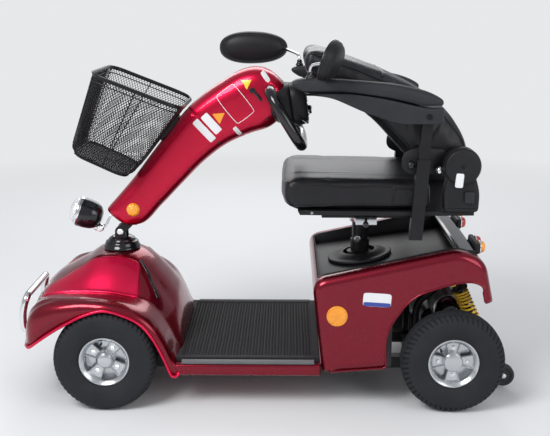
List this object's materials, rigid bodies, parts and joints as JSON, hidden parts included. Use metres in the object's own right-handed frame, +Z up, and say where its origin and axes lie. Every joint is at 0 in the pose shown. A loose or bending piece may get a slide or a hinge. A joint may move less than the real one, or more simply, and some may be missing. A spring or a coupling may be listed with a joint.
{
  "type": "four-wheel mobility scooter",
  "caption": "Electric mobility scooter with a leaning tiller, a steering loop, a front basket, a folding seat with armrests and mirrors, sprung rear axle and anti-tip rollers.",
  "frame": {"origin": "on the ground, midway between the bumper's front and the anti-tip rollers' rear, in the plane of symmetry", "axes": "+X forward, +Y to the vehicle's left, +Z up"},
  "size_m": [1.513, 0.76, 1.0641],
  "materials": {
    "body_red": "metallic dark red lacquer, glossy",
    "black_plastic": "black plastic, satin",
    "gloss_black": "black plastic, polished",
    "mat_rubber": "dark grey ribbed rubber",
    "black_steel": "black powder coat",
    "chrome": "polished",
    "silver_wheel": "silver, satin",
    "tyre_rubber": "black rubber, matte",
    "seat_vinyl": "black vinyl, soft sheen",
    "amber_lens": "amber lens",
    "red_lens": "red lens",
    "spring_yellow": "yellow powder coat",
    "lamp_glass": "clear",
    "mirror_black": "black plastic, polished",
    "battery_case": "black case, matte"
  },
  "bodies": {
    "chassis": {"frame": "black_steel", "floor_tray": "body_red", "floor_mat": "mat_rubber", "front_body": "body_red", "column_boot": "gloss_black", "bumper": "chrome", "front_axle": "black_steel", "rear_body": "body_red", "rear_handle": "gloss_black", "rear_light_left": "red_lens", "rear_light_right": "red_lens", "reflector_left": "amber_lens", "reflector_right": "amber_lens", "transaxle": "black_steel", "damper_left": "black_steel", "damper_right": "black_steel", "spring_left": "spring_yellow", "spring_right": "spring_yellow", "battery_left": "battery_case", "battery_right": "battery_case", "anti_tip_bracket": "black_steel", "seat_post": "black_steel", "seat_dish": "black_plastic", "seat_rails": "black_steel"},
    "wheel_rear_left": {"tyre_rear_left": "tyre_rubber", "rim_rear_left": "silver_wheel"},
    "wheel_rear_right": {"tyre_rear_right": "tyre_rubber", "rim_rear_right": "silver_wheel"},
    "wheel_front_left": {"tyre_front_left": "tyre_rubber", "rim_front_left": "silver_wheel"},
    "wheel_front_right": {"tyre_front_right": "tyre_rubber", "rim_front_right": "silver_wheel"},
    "knuckle_left": {"knuckle_left": "black_steel"},
    "knuckle_right": {"knuckle_right": "black_steel"},
    "tie_rod": {"tie_rod": "black_steel"},
    "anti_tip_wheel_left": {"anti_tip_wheel_left": "tyre_rubber"},
    "anti_tip_wheel_right": {"anti_tip_wheel_right": "tyre_rubber"},
    "column": {"steering_column": "black_steel"},
    "tiller": {"tiller_cover": "body_red", "tiller_yoke": "chrome", "console": "black_plastic", "steering_loop": "gloss_black", "indicator_left": "amber_lens", "indicator_right": "amber_lens", "headlamp": "black_plastic", "headlamp_lens": "lamp_glass", "basket": "black_steel"},
    "seat": {"seat_pan": "black_steel", "seat_cushion": "seat_vinyl", "arm_post_left": "black_steel", "arm_post_right": "black_steel", "hinge_cover_left": "black_plastic", "hinge_cover_right": "black_plastic"},
    "backrest": {"backrest": "seat_vinyl"},
    "armrest_left": {"armrest_left": "black_plastic", "mirror_left": "mirror_black"},
    "armrest_right": {"armrest_right": "black_plastic", "mirror_right": "mirror_black"}
  },
  "joints": [
    {"name": "wheel_rear_left_roll", "type": "hinge", "parent": "chassis", "child": "wheel_rear_left", "pos_m": [-0.5385, 0.276, 0.15], "axis": [0, 1, 0], "continuous": true},
    {"name": "wheel_rear_right_roll", "type": "hinge", "parent": "chassis", "child": "wheel_rear_right", "pos_m": [-0.5385, -0.276, 0.15], "axis": [0, 1, 0], "continuous": true},
    {"name": "anti_tip_wheel_left_roll", "type": "hinge", "parent": "chassis", "child": "anti_tip_wheel_left", "pos_m": [-0.7225, 0.13, 0.046], "axis": [0, 1, 0], "continuous": true},
    {"name": "anti_tip_wheel_right_roll", "type": "hinge", "parent": "chassis", "child": "anti_tip_wheel_right", "pos_m": [-0.7225, -0.13, 0.046], "axis": [0, 1, 0], "continuous": true},
    {"name": "steering", "type": "hinge", "parent": "chassis", "child": "column", "pos_m": [0.4565, 0, 0.468], "axis": [0, 0, 1], "range_deg": [-35, 35]},
    {"name": "knuckle_left_turn", "type": "hinge", "parent": "chassis", "child": "knuckle_left", "pos_m": [0.4665, 0.2, 0.15], "axis": [0, 0, 1], "range_deg": [-25, 25]},
    {"name": "wheel_front_left_roll", "type": "hinge", "parent": "knuckle_left", "child": "wheel_front_left", "pos_m": [0.4665, 0.276, 0.15], "axis": [0, 1, 0], "continuous": true},
    {"name": "knuckle_right_turn", "type": "hinge", "parent": "chassis", "child": "knuckle_right", "pos_m": [0.4665, -0.2, 0.15], "axis": [0, 0, 1], "range_deg": [-25, 25]},
    {"name": "wheel_front_right_roll", "type": "hinge", "parent": "knuckle_right", "child": "wheel_front_right", "pos_m": [0.4665, -0.276, 0.15], "axis": [0, 1, 0], "continuous": true},
    {"name": "tie_rod_shift", "type": "slide", "parent": "chassis", "child": "tie_rod", "axis": [0, 1, 0], "range_m": [-0.039, 0.039]},
    {"name": "tiller_tilt", "type": "hinge", "parent": "column", "child": "tiller", "pos_m": [0.4565, 0, 0.468], "axis": [0, 1, 0], "range_deg": [0, 30]},
    {"name": "seat_slide", "type": "slide", "parent": "chassis", "child": "seat", "axis": [-1, 0, 0], "range_m": [0, 0.08]},
    {"name": "backrest_fold", "type": "hinge", "parent": "seat", "child": "backrest", "pos_m": [-0.547, 0, 0.714], "axis": [0, -1, 0], "range_deg": [0, 75]},
    {"name": "armrest_left_flip", "type": "hinge", "parent": "seat", "child": "armrest_left", "pos_m": [-0.447, 0.251, 0.855], "axis": [0, -1, 0], "range_deg": [0, 90]},
    {"name": "armrest_right_flip", "type": "hinge", "parent": "seat", "child": "armrest_right", "pos_m": [-0.447, -0.251, 0.855], "axis": [0, -1, 0], "range_deg": [0, 90]}
  ],
  "couplings": [
    {"joint": "knuckle_left_turn", "follows": "steering", "ratio": 0.7},
    {"joint": "knuckle_right_turn", "follows": "steering", "ratio": 0.7},
    {"joint": "tie_rod_shift", "follows": "steering", "m_per_rad": 0.0577}
  ]
}
